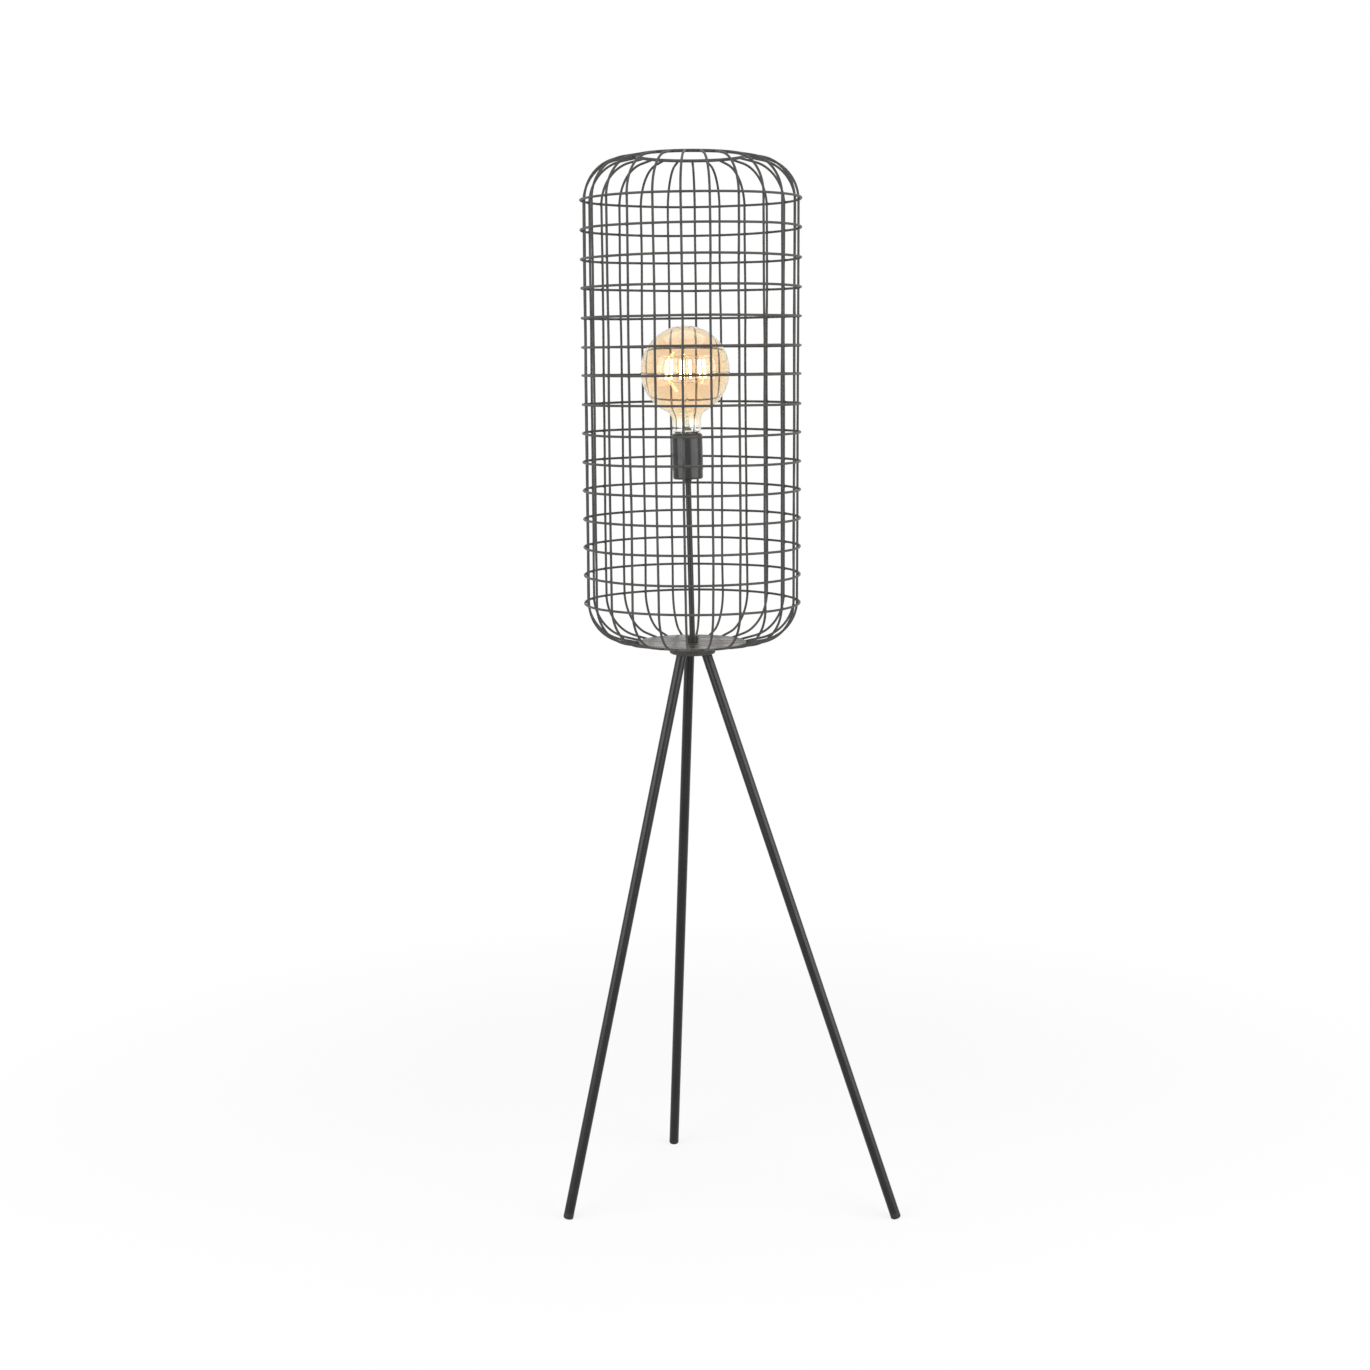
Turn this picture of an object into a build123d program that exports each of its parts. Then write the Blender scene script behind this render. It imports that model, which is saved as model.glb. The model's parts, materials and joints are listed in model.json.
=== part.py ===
from build123d import *
from math import cos, radians, sin, sqrt, tan
import os

# Wire cage floor lamp. Millimetres, +Z up, floor at Z = 0. The origin is the centre of the
# rectangle of floor that the lamp covers, so the lamp's own upright axis stands beside it.

# ---- Driving dimensions -------------------------------------------------------------------

# Clearances
fit_gap = 0.03            # radial, between a thread or press fit and its hole
touch_gap = 0.1           # between round pieces that are welded side by side
seat_gap = 0.2            # between faces that come to rest on each other

# Tripod: the underside of the hub stands this high on the legs
leg_rise = 805.5
leg_d = 14.5
leg_wall = 1.2
seat_circle_r = 21.0      # where the leg axes pass the hub's underside
seat_phase = -18.0        # direction of the right leg's seat, degrees from +X
socket_depth = 4.0        # how far a leg's square end goes into the hub
stud_d = 8.0
stud_in_hub = 8.0
stud_in_leg = 16.0
insert_length = 22.0
foot_spigot = 14.0
foot_length = 9.0
foot_round = 3.0
# Each foot stands where the photograph shows it: degrees from +X, and distance from the axis
right_foot_turn = -21.3
right_foot_reach = 311.0
rear_foot_turn = 100.5
rear_foot_reach = 178.5
left_foot_turn = -148.7
left_foot_reach = 213.7

# Hub, plate and stem
hub_d = 66.0
hub_height = 14.0
hub_edge = 4.0
plate_thickness = 3.0
rim_r = 77.0              # outer edge of the plate and of the top ring
stem_d = 8.0
stem_wall = 1.0
stem_in_hub = 6.0
stem_length = 232.0       # between the plate and the lamp holder
stem_lean = 1.3           # degrees towards -X, for all that stands on the plate's middle
collar_d = 16.0
collar_height = 9.0
collar_chamfer = 1.2
bush_d = 10.0
bush_depth = 7.0
bush_bore = 6.0
bush_flange_d = 12.0
bush_flange = 1.5

# Cage
upright_r = 149.0         # centre line of the upright wires
upright_count = 24
upright_phase = -95.3     # direction of the first upright wire, degrees from +X
upright_drift = 2.2       # degrees; twice this at the cage's back, where the wires stand uneven
upright_groups = 4
wire_d = 3.4
ring_count = 15
ring_pitch = 40.0
end_gap = 58.5            # from an end ring to the plate's middle, or to the top ring
shoulder_r = 58.0         # bend of the upright wires
crown_slope = 10.0        # slope of the wires' ends, degrees
top_ring_d = 4.5

# Lamp holder
boss_d = 11.0
boss_height = 4.0
boss_taper = 12.0         # degrees
cap_d = 42.4
cap_height = 10.7
cap_floor = 2.0
cap_wall = 1.2
cap_round = 2.5
spigot_height = 6.0
nut_across = 13.0
nut_height = 4.0
nut_seat = 2.0            # thread standing above the nut
groove = 1.4
cover_d = 43.4
cover_height = 52.4
cover_wall = 0.8
cover_round = 4.5
mouth_d = 30.0
insert_base = 18.0
insert_sleeve_d = 34.4
insert_top_gap = 5.0
contact_sheet = 0.6
contact_width = 6.0
contact_foot = 7.8        # from the lamp's axis to the foot's end
live_terminal = -5.8      # beside the lamp's axis, through the centre contact
neutral_terminal = 11.5   # through the screw shell's floor
terminal_d = 3.0
terminal_head_d = 5.5
terminal_head = 1.8
terminal_end = 0.6        # thread standing above what it holds

# Screw thread of the lamp holder and the bulb (27 mm Edison thread, seven turns to the inch)
thread_pitch = 25.4 / 7
thread_round = 0.95       # radius of the rolled thread
cap_core_r = 12.2         # bulb's cap between the threads
cap_sheet = 0.6
thread_clearance = 0.35
shell_sheet = 0.5
shell_turns = 5.5
shell_margin = 1.0        # plain sheet beyond the thread at either end
cap_turns = 3.3
threads_between = 2.5     # turns from the start of the shell's thread to the cap's

# Bulb
bulb_d = 125.0
glass_wall = 1.0
neck_r = 20.4
neck_length = 17.9        # straight part of the neck
neck_blend = 14.0         # concave curve from the globe into the neck
neck_foot = 6.0           # rounded lower end of the neck
cap_length = 26.5
cap_skirt = 5.0
cone_rise = 3.0           # from the tip up to the cone
cone_height = 3.0
insulator_r = 9.0
insulator_collar = 1.8
insulator_lip = 1.0
tip_r = 4.8
tip_height = 1.6
mount_foot_r = 9.0
mount_r = 3.0
mount_waist_r = 4.8
mount_flare = 24.0
mount_rise = 24.0         # above the globe's middle
filament_count = 6
filament_phase = 16.0     # direction of the first filament, degrees from +X
filament_length = 30.0
filament_d = 2.4
filament_low_r = 28.5
filament_high_r = 26.5
filament_drop = 13.0      # from the globe's middle down to the filaments' lower ends
lead_d = 0.8
lead_slope = 3.0
lead_in_x = 5.0
board_thickness = 1.6
capacitor_d = 5.0
capacitor_height = 6.0
chip_side = 4.0
chip_height = 1.6

# ---- Heights and places that follow -------------------------------------------------------

leg_r = leg_d / 2
hub_top = leg_rise + hub_height
plate_top = hub_top + plate_thickness
plate_mid = hub_top + plate_thickness / 2
lowest_ring = plate_mid + end_gap
highest_ring = lowest_ring + (ring_count - 1) * ring_pitch
top_ring_z = highest_ring + end_gap
ring_r = upright_r + wire_d + touch_gap
cage_reach = ring_r + wire_d / 2

holder_bottom = plate_top + stem_length
cap_rim = holder_bottom + cap_height
cover_bottom = cap_rim + groove
cover_top = cover_bottom + cover_height
bulb_seat = cover_top + seat_gap
bulb_tip = bulb_seat - cap_length
globe_r = bulb_d / 2
# The globe's outline runs into the neck through a hollow curve round this point
hollow_r = neck_r + neck_blend
hollow_z = bulb_seat + neck_length
globe_z = hollow_z + sqrt((globe_r + neck_blend) ** 2 - hollow_r**2)


def polar(direction, radius):
    """The x and y of a point at a direction in degrees and a distance from the lamp's axis."""
    return radius * cos(radians(direction)), radius * sin(radians(direction))


# The lamp's axis lies so that the middle of its outline from above is at the origin
feet = {
    "right": (right_foot_turn, right_foot_reach),
    "rear": (rear_foot_turn, rear_foot_reach),
    "left": (left_foot_turn, left_foot_reach),
}
foot_spots = [polar(*spot) for spot in feet.values()]
reach_x = [x + side * leg_r for x, y in foot_spots for side in (-1, 1)] + [-cage_reach, cage_reach]
reach_y = [y + side * leg_r for x, y in foot_spots for side in (-1, 1)] + [-cage_reach, cage_reach]
axis_x = -(max(reach_x) + min(reach_x)) / 2
axis_y = -(max(reach_y) + min(reach_y)) / 2
lamp_axis = Axis((axis_x, axis_y, 0), (0, 0, 1))
lean_line = Axis((axis_x, axis_y, plate_top), (0, 1, 0))
stem_direction = (-sin(radians(stem_lean)), 0, cos(radians(stem_lean)))


def level(height):
    """A level plane at a height, centred on the lamp's axis."""
    return Plane(origin=(axis_x, axis_y, height), z_dir=(0, 0, 1))


def upright_plane(direction=0.0):
    """A plane through the lamp's axis: its x runs outward in a direction, its y up."""
    across = (*polar(direction, 1), 0)
    return Plane(origin=(axis_x, axis_y, 0), x_dir=across, z_dir=(across[1], -across[0], 0))


def leg_frame(name, index):
    """The plane across a leg at its upper end, with its z running down along the leg."""
    seat = Vector(*polar(seat_phase + 120 * index, seat_circle_r), leg_rise)
    foot = Vector(*polar(*feet[name]), 0)
    down = (foot - seat).normalized()
    start = seat - down * socket_depth + Vector(axis_x, axis_y, 0)
    return Plane(origin=start, z_dir=down)


def along(frame):
    """The plane through a leg's axis: its x runs across the leg, its y down along it."""
    return Plane(origin=frame.origin, x_dir=frame.x_dir, z_dir=frame.x_dir.cross(frame.z_dir))


def leg_length(frame):
    """From a leg's upper end to the floor, along its axis."""
    return frame.origin.Z / -frame.z_dir.Z


os.makedirs("parts", exist_ok=True)


def save(piece, name):
    """Names a finished piece and writes it."""
    piece.label = name
    export_step(piece, f"parts/{name}.step")


def save_leaning(piece, name):
    """Saves a piece that was drawn upright, leaning as the stem does."""
    save(piece.rotate(lean_line, -stem_lean), name)


# ---- Tripod -------------------------------------------------------------------------------

leg_frames = {name: leg_frame(name, index) for index, name in enumerate(feet)}

with BuildPart() as hub:
    with BuildSketch(level(leg_rise)):
        Circle(hub_d / 2)
    extrude(amount=hub_height)
    fillet(hub.edges().group_by(Axis.Z)[0], hub_edge)
    with BuildSketch(Plane(origin=(axis_x, axis_y, plate_top), z_dir=stem_direction)):
        Circle(stem_d / 2 + fit_gap)
    extrude(amount=leg_rise - plate_top, mode=Mode.SUBTRACT)
    with BuildSketch(level(leg_rise)):
        Circle(bush_d / 2 + fit_gap)
    extrude(amount=bush_depth + seat_gap, mode=Mode.SUBTRACT)
    for frame in leg_frames.values():
        with BuildSketch(frame):
            Circle(leg_r + seat_gap)
        extrude(amount=hub_height, mode=Mode.SUBTRACT)
        with BuildSketch(frame):
            Circle(stud_d / 2 + fit_gap)
        extrude(amount=-(stud_in_hub + seat_gap), mode=Mode.SUBTRACT)
save(hub.part, "hub")

tube_r = leg_r - leg_wall
with BuildPart() as leg_studs:
    for frame in leg_frames.values():
        with BuildSketch(frame.offset(-stud_in_hub)):
            Circle(stud_d / 2)
        extrude(amount=stud_in_hub + stud_in_leg)
save(leg_studs.part, "leg_studs")

for name, frame in leg_frames.items():
    tube_length = leg_length(frame) - foot_length
    leg_axis = Axis(frame.origin, frame.z_dir)

    with BuildPart() as leg:
        with BuildSketch(frame):
            Circle(leg_r)
            Circle(tube_r, mode=Mode.SUBTRACT)
        extrude(amount=tube_length)
    save(leg.part, f"leg_{name}")

    with BuildPart() as insert:
        with BuildSketch(frame):
            Circle(tube_r - fit_gap)
            Circle(stud_d / 2 + fit_gap, mode=Mode.SUBTRACT)
        extrude(amount=insert_length)
    save(insert.part, f"leg_insert_{name}")

    with BuildPart() as foot:
        with BuildSketch(along(frame)):
            with BuildLine():
                Polyline(
                    (0, tube_length - foot_spigot),
                    (tube_r - fit_gap, tube_length - foot_spigot),
                    (tube_r - fit_gap, tube_length),
                    (leg_r, tube_length),
                    (leg_r, tube_length + foot_length - foot_round),
                )
                RadiusArc(
                    (leg_r, tube_length + foot_length - foot_round),
                    (leg_r - foot_round, tube_length + foot_length),
                    -foot_round,
                )
                Polyline(
                    (leg_r - foot_round, tube_length + foot_length),
                    (0, tube_length + foot_length),
                    (0, tube_length - foot_spigot),
                )
            make_face()
        revolve(axis=leg_axis)
        # Worn flat where it stands
        split(bisect_by=Plane.XY, keep=Keep.TOP)
    save(foot.part, f"foot_{name}")

# ---- Cage ---------------------------------------------------------------------------------

with BuildPart() as bottom_plate:
    with BuildSketch(level(hub_top)):
        Circle(rim_r)
        Circle(stem_d / 2 + seat_gap, mode=Mode.SUBTRACT)
    extrude(amount=plate_thickness)
save(bottom_plate.part, "bottom_plate")

with BuildPart() as top_ring:
    with BuildSketch(upright_plane()):
        with Locations((rim_r - top_ring_d / 2, top_ring_z)):
            Circle(top_ring_d / 2)
    revolve(axis=lamp_axis)
save(top_ring.part, "top_ring")

for number in range(ring_count):
    with BuildPart() as ring:
        with BuildSketch(upright_plane()):
            with Locations((ring_r, highest_ring - number * ring_pitch)):
                Circle(wire_d / 2)
        revolve(axis=lamp_axis)
    save(ring.part, f"cage_ring_{number + 1:02d}")

# The upright wires end against the edges of the plate and of the top ring
wire_end_r = rim_r + touch_gap + wire_d / 2 * sin(radians(crown_slope))
crown_drop = (upright_r - wire_end_r) * tan(radians(crown_slope))
upright_points = [
    (wire_end_r, plate_mid),
    (upright_r, plate_mid + crown_drop),
    (upright_r, top_ring_z - crown_drop),
    (wire_end_r, top_ring_z),
]
per_group = upright_count // upright_groups
for group in range(upright_groups):
    with BuildPart() as uprights:
        for number in range(group * per_group, (group + 1) * per_group):
            even_turn = upright_phase + number * 360 / upright_count
            drift = upright_drift * (1 + sin(radians(even_turn)))
            with BuildLine(upright_plane(even_turn + drift)) as bent:
                FilletPolyline(upright_points, radius=shoulder_r)
            start = Plane(origin=bent.line @ 0, z_dir=bent.line % 0)
            with BuildSketch(start):
                Circle(wire_d / 2)
            sweep(path=bent.line)
    save(uprights.part, f"cage_uprights_{group + 1}")

# ---- Stem ---------------------------------------------------------------------------------

nut_top = holder_bottom + cap_floor + seat_gap + nut_height
stem_top = nut_top + nut_seat
with BuildPart() as stem:
    with BuildSketch(level(hub_top - stem_in_hub)):
        Circle(stem_d / 2)
        Circle(stem_d / 2 - stem_wall, mode=Mode.SUBTRACT)
    extrude(amount=stem_top - hub_top + stem_in_hub)
save_leaning(stem.part, "stem")

# The lower edge of the leaning collar just clears the plate
collar_bottom = plate_top + collar_d / 2 * sin(radians(stem_lean)) + fit_gap
with BuildPart() as stem_collar:
    with BuildSketch(level(collar_bottom)):
        Circle(collar_d / 2)
    extrude(amount=collar_height)
    chamfer(stem_collar.edges().group_by(Axis.Z)[-1], collar_chamfer)
    with BuildSketch(level(collar_bottom)):
        Circle(stem_d / 2 + fit_gap)
    extrude(amount=collar_height, mode=Mode.SUBTRACT)
save_leaning(stem_collar.part, "stem_collar")

with BuildPart() as cable_bush:
    with BuildSketch(level(leg_rise - bush_flange)):
        Circle(bush_flange_d / 2)
    extrude(amount=bush_flange)
    with BuildSketch(level(leg_rise)):
        Circle(bush_d / 2)
    extrude(amount=bush_depth)
    with BuildSketch(level(leg_rise - bush_flange)):
        Circle(bush_bore / 2)
    extrude(amount=bush_flange + bush_depth, mode=Mode.SUBTRACT)
save(cable_bush.part, "cable_bush")

# ---- Lamp holder --------------------------------------------------------------------------

cover_r = cover_d / 2
cover_bore = cover_r - cover_wall
spigot_r = cover_bore - fit_gap
with BuildPart() as holder_cap:
    with BuildSketch(level(holder_bottom)):
        Circle(cap_d / 2)
    extrude(amount=cap_height)
    fillet(holder_cap.edges().group_by(Axis.Z)[0], cap_round)
    with BuildSketch(level(cap_rim)):
        Circle(spigot_r)
    extrude(amount=spigot_height)
    with BuildSketch(level(holder_bottom + cap_floor)):
        Circle(spigot_r - cap_wall)
    extrude(amount=cap_height + spigot_height, mode=Mode.SUBTRACT)
    with BuildSketch(level(holder_bottom)):
        Circle(boss_d / 2)
    extrude(amount=-boss_height, taper=boss_taper)
    with BuildSketch(level(holder_bottom + cap_floor)):
        Circle(stem_d / 2 + fit_gap)
    extrude(amount=-(cap_floor + boss_height), mode=Mode.SUBTRACT)
save_leaning(holder_cap.part, "holder_cap")

with BuildPart() as holder_nut:
    with BuildSketch(level(nut_top - nut_height)):
        RegularPolygon(nut_across / 2, 6, major_radius=False)
        Circle(stem_d / 2 + fit_gap, mode=Mode.SUBTRACT)
    extrude(amount=nut_height)
save_leaning(holder_nut.part, "holder_nut")

# Drawn from one sheet
with BuildPart() as holder_cover:
    with BuildSketch(upright_plane()):
        with BuildLine():
            Line((cover_r, cover_bottom), (cover_r, cover_top - cover_round))
            RadiusArc(
                (cover_r, cover_top - cover_round),
                (cover_r - cover_round, cover_top),
                -cover_round,
            )
            Polyline(
                (cover_r - cover_round, cover_top),
                (mouth_d / 2, cover_top),
                (mouth_d / 2, cover_top - cover_wall),
                (cover_r - cover_round, cover_top - cover_wall),
            )
            RadiusArc(
                (cover_r - cover_round, cover_top - cover_wall),
                (cover_bore, cover_top - cover_round),
                cover_round - cover_wall,
            )
            Polyline(
                (cover_bore, cover_top - cover_round),
                (cover_bore, cover_bottom),
                (cover_r, cover_bottom),
            )
        make_face()
    revolve(axis=lamp_axis)
save_leaning(holder_cover.part, "holder_cover")

shell_r = cap_core_r + thread_round + thread_clearance
sleeve_bore = shell_r + thread_round + thread_clearance
insert_bottom = cap_rim + spigot_height
insert_floor = insert_bottom + insert_base
insert_top = cover_top - insert_top_gap
terminals = [(live_terminal, 0), (neutral_terminal, 0)]
with BuildPart() as holder_insert:
    with BuildSketch(level(insert_bottom)):
        Circle(spigot_r)
    extrude(amount=insert_base)
    with BuildSketch(level(insert_floor)):
        Circle(insert_sleeve_d / 2)
    extrude(amount=insert_top - insert_floor)
    with BuildSketch(level(insert_floor)):
        Circle(sleeve_bore)
    extrude(amount=insert_top - insert_floor, mode=Mode.SUBTRACT)
    with BuildSketch(level(insert_bottom)):
        with Locations(*terminals):
            Circle(terminal_d / 2 + fit_gap)
    extrude(amount=insert_base, mode=Mode.SUBTRACT)
save_leaning(holder_insert.part, "holder_insert")

with BuildPart() as terminal_screws:
    with BuildSketch(level(insert_bottom)):
        with Locations(*terminals):
            Circle(terminal_d / 2)
    extrude(amount=insert_base + contact_sheet + terminal_end)
    with BuildSketch(level(insert_bottom)):
        with Locations(*terminals):
            Circle(terminal_head_d / 2)
    extrude(amount=-terminal_head)
save_leaning(terminal_screws.part, "terminal_screws")

# A bent strip: its foot is under the live terminal, and its tongue meets the bulb's tip
tongue_top = bulb_tip - seat_gap
tongue_foot = live_terminal + terminal_d
with BuildPart() as centre_contact:
    with BuildSketch(upright_plane()):
        with BuildLine():
            Polyline(
                (-contact_foot, insert_floor),
                (tongue_foot, insert_floor),
                (0, tongue_top - contact_sheet),
                (tip_r, tongue_top - contact_sheet),
                (tip_r, tongue_top),
                (-contact_sheet / 2, tongue_top),
                (tongue_foot - contact_sheet / 2, insert_floor + contact_sheet),
                (-contact_foot, insert_floor + contact_sheet),
                close=True,
            )
        make_face()
    extrude(amount=contact_width / 2, both=True)
    with BuildSketch(level(insert_floor)):
        with Locations((live_terminal, 0)):
            Circle(terminal_d / 2 + fit_gap)
    extrude(amount=contact_sheet, mode=Mode.SUBTRACT)
save_leaning(centre_contact.part, "centre_contact")


def rolled_thread(radius, start, turns):
    """A round thread along a right-hand helix about the lamp's axis."""
    with BuildPart() as thread:
        with BuildLine() as helix:
            Helix(thread_pitch, turns * thread_pitch, radius, center=(axis_x, axis_y, start))
        with BuildSketch(Plane(origin=helix.line @ 0, z_dir=helix.line % 0)):
            Circle(thread_round)
        sweep(path=helix.line, is_frenet=True)
    return thread.part


# The two threads lie half a pitch apart, so that the cap's runs between the shell's
shell_start = insert_floor + shell_sheet + thread_round + shell_margin
shell_top = shell_start + shell_turns * thread_pitch + thread_round + shell_margin
cap_start = shell_start + threads_between * thread_pitch
contact_corner = sqrt(contact_foot**2 + (contact_width / 2) ** 2)
shell_thread = rolled_thread(shell_r, shell_start, shell_turns)
cap_thread = rolled_thread(cap_core_r, cap_start, cap_turns)
with BuildPart() as screw_shell:
    with BuildSketch(level(insert_floor)):
        Circle(shell_r + shell_sheet)
        Circle(shell_r, mode=Mode.SUBTRACT)
    extrude(amount=shell_top - insert_floor)
    with BuildSketch(level(insert_floor)):
        Circle(shell_r + shell_sheet / 2)
        Circle(contact_corner + seat_gap, mode=Mode.SUBTRACT)
        with Locations((neutral_terminal, 0)):
            Circle(terminal_d / 2 + fit_gap, mode=Mode.SUBTRACT)
    extrude(amount=shell_sheet)
    add(shell_thread)
save_leaning(screw_shell.part, "screw_shell")

# ---- Bulb ---------------------------------------------------------------------------------

cone_z = bulb_tip + cone_rise
skirt_r = cap_core_r + thread_round
skirt_z = bulb_seat - cap_skirt + thread_round
with BuildPart() as bulb_cap:
    with BuildSketch(upright_plane()):
        with BuildLine():
            Polyline(
                (insulator_r, cone_z),
                (cap_core_r, cone_z + cone_height),
                (cap_core_r, bulb_seat - cap_skirt),
                (skirt_r, skirt_z),
                (skirt_r, bulb_seat),
                (skirt_r - cap_sheet, bulb_seat),
                (skirt_r - cap_sheet, skirt_z + cap_sheet / 2),
                (cap_core_r - cap_sheet, bulb_seat - cap_skirt + cap_sheet / 2),
                (cap_core_r - cap_sheet, cone_z + cone_height + cap_sheet / 2),
                (insulator_r, cone_z + cap_sheet),
                close=True,
            )
        make_face()
    revolve(axis=lamp_axis)
    add(cap_thread)
save_leaning(bulb_cap.part, "bulb_cap")

# The contact at the bulb's tip is round: it rises with the bulb whether it turns or not
with BuildPart() as bulb_contact:
    with BuildSketch(level(bulb_tip)):
        Circle(tip_r)
    extrude(amount=tip_height)
    fillet(bulb_contact.edges().group_by(Axis.Z)[0], tip_height / 2)
save_leaning(bulb_contact.part, "bulb_contact")

# Glass that holds the contact in the middle of the cap
pocket_r = tip_r + fit_gap
pocket_top = bulb_tip + tip_height + fit_gap
insulator_edge = insulator_r - fit_gap
with BuildPart() as bulb_insulator:
    with BuildSketch(upright_plane()):
        with BuildLine():
            Polyline(
                (0, pocket_top),
                (pocket_r, pocket_top),
                (pocket_r, bulb_tip + tip_height / 2),
                (pocket_r + insulator_lip, bulb_tip + tip_height / 2),
                (insulator_edge, cone_z - cap_sheet),
                (insulator_edge, cone_z + insulator_collar),
                (0, cone_z + insulator_collar),
                close=True,
            )
        make_face()
    revolve(axis=lamp_axis)
save_leaning(bulb_insulator.part, "bulb_insulator")


def glass_outline(inset):
    """Half of the bulb's outline, beside its axis, drawn this far inside the outer surface."""
    share = (globe_r - inset) / (globe_r + neck_blend)
    join = (hollow_r * share, globe_z + (hollow_z - globe_z) * share)
    side = neck_r - inset
    corner = neck_foot - inset
    bottom = bulb_seat + inset
    with BuildSketch() as half:
        with BuildLine():
            RadiusArc((0, globe_z + globe_r - inset), join, globe_r - inset)
            RadiusArc(join, (side, hollow_z), -(neck_blend + inset))
            Line((side, hollow_z), (side, bottom + corner))
            RadiusArc((side, bottom + corner), (side - corner, bottom), corner)
            Polyline((side - corner, bottom), (0, bottom), (0, globe_z + globe_r - inset))
        make_face()
    return half.sketch


with BuildPart() as bulb_glass:
    with BuildSketch(upright_plane()):
        add(glass_outline(0))
        add(glass_outline(glass_wall), mode=Mode.SUBTRACT)
    revolve(axis=lamp_axis)
    with BuildSketch(level(bulb_seat)):
        Circle(mount_foot_r + fit_gap)
    extrude(amount=glass_wall, mode=Mode.SUBTRACT)
save_leaning(bulb_glass.part, "bulb_glass")

# Glass post that carries the filaments, sealed into the neck's foot
mount_top = globe_z + mount_rise
with BuildPart() as bulb_mount:
    with BuildSketch(upright_plane()):
        with BuildLine():
            Line((0, bulb_seat), (mount_foot_r, bulb_seat))
            Line((mount_foot_r, bulb_seat), (mount_foot_r, bulb_seat + glass_wall))
            ThreePointArc(
                (mount_foot_r, bulb_seat + glass_wall),
                (mount_waist_r, bulb_seat + mount_flare / 3),
                (mount_r, bulb_seat + mount_flare),
            )
            Line((mount_r, bulb_seat + mount_flare), (mount_r, mount_top - mount_r))
            RadiusArc((mount_r, mount_top - mount_r), (0, mount_top), -mount_r)
            Line((0, mount_top), (0, bulb_seat))
        make_face()
    revolve(axis=lamp_axis)
save_leaning(bulb_mount.part, "bulb_mount")


def rod(start, end, radius):
    """A round rod between two points given from the lamp's axis."""
    first, last = (Vector(axis_x, axis_y, 0) + Vector(*point) for point in (start, end))
    with BuildPart() as straight:
        with BuildSketch(Plane(origin=first, z_dir=last - first)):
            Circle(radius)
        extrude(amount=(last - first).length)
    return straight.part


filament_rise = sqrt(filament_length**2 - (filament_high_r - filament_low_r) ** 2)
low_z = globe_z - filament_drop
high_z = low_z + filament_rise
filament_rods = []
low_leads = []
high_leads = []
for number in range(filament_count):
    turn = filament_phase + number * 360 / filament_count
    low_end = polar(turn, filament_low_r)
    high_end = polar(turn, filament_high_r)
    hold = polar(turn, mount_r + lead_d / 2)
    low_lead_z = low_z - filament_d / 2
    high_lead_z = high_z + filament_d / 2
    filament_rods.append(rod((*low_end, low_z), (*high_end, high_z), filament_d / 2))
    low_leads.append(
        rod((*low_end, low_lead_z), (*hold, low_lead_z - lead_slope), lead_d / 2)
    )
    high_leads.append(
        rod((*high_end, high_lead_z), (*hold, high_lead_z + lead_slope), lead_d / 2)
    )

for name, rods in (
    ("filaments", filament_rods),
    ("filament_leads_lower", low_leads),
    ("filament_leads_upper", high_leads),
):
    with BuildPart() as group:
        add(rods)
    save_leaning(group.part, name)

board_r = cap_core_r - thread_round - touch_gap
board_z = cap_start + cap_turns * thread_pitch / 2
with BuildPart() as driver_board:
    with BuildSketch(level(board_z)):
        Circle(board_r)
    extrude(amount=board_thickness)
    with BuildSketch(level(board_z + board_thickness)):
        with Locations((0, -board_r / 2)):
            Circle(capacitor_d / 2)
    extrude(amount=capacitor_height)
    with BuildSketch(level(board_z)):
        with Locations((0, board_r / 3)):
            Rectangle(chip_side, chip_side)
    extrude(amount=-chip_height)
save_leaning(driver_board.part, "driver_board")

with BuildPart() as lead_ins:
    with BuildSketch(level(board_z + board_thickness)):
        with Locations((-lead_in_x, 0), (lead_in_x, 0)):
            Circle(lead_d / 2)
    extrude(amount=bulb_seat - board_z - board_thickness)
save_leaning(lead_ins.part, "lead_in_wires")
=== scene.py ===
import bmesh
import bpy
import json
import math
import random
from mathutils import Matrix, Vector


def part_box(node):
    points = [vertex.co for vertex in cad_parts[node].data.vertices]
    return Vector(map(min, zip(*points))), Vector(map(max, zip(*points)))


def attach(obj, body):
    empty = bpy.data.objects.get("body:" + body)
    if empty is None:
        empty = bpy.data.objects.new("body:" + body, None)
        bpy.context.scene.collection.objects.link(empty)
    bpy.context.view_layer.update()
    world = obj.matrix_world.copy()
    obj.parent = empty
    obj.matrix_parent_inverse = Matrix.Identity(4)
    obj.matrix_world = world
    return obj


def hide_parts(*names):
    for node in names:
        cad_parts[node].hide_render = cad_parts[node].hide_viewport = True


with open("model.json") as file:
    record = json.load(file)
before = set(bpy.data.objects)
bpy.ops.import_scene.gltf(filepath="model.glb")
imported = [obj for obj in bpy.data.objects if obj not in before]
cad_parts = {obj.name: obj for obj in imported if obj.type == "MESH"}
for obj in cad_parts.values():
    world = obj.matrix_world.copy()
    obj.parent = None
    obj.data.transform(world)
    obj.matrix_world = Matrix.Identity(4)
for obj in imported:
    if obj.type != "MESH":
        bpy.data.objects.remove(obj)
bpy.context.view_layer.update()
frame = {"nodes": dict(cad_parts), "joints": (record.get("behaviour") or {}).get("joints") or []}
nodes = frame["nodes"]

MM = 0.001
UP = Vector((0, 0, 1))
BACK = Vector((0, 1, 0))
WHITE = (1, 1, 1, 1)


def middle(node):
    """The middle of a CAD node's box."""
    low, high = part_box(node)
    return (low + high) / 2


AXIS = middle("top_ring")
AXIS.z = 0
RING_NODES = sorted(n for n in nodes if n.startswith("cage_ring_"))
UPRIGHT_NODES = sorted(n for n in nodes if n.startswith("cage_uprights_"))
STEM_UP = Vector(frame["joints"][0]["axis"]).normalized()

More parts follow.
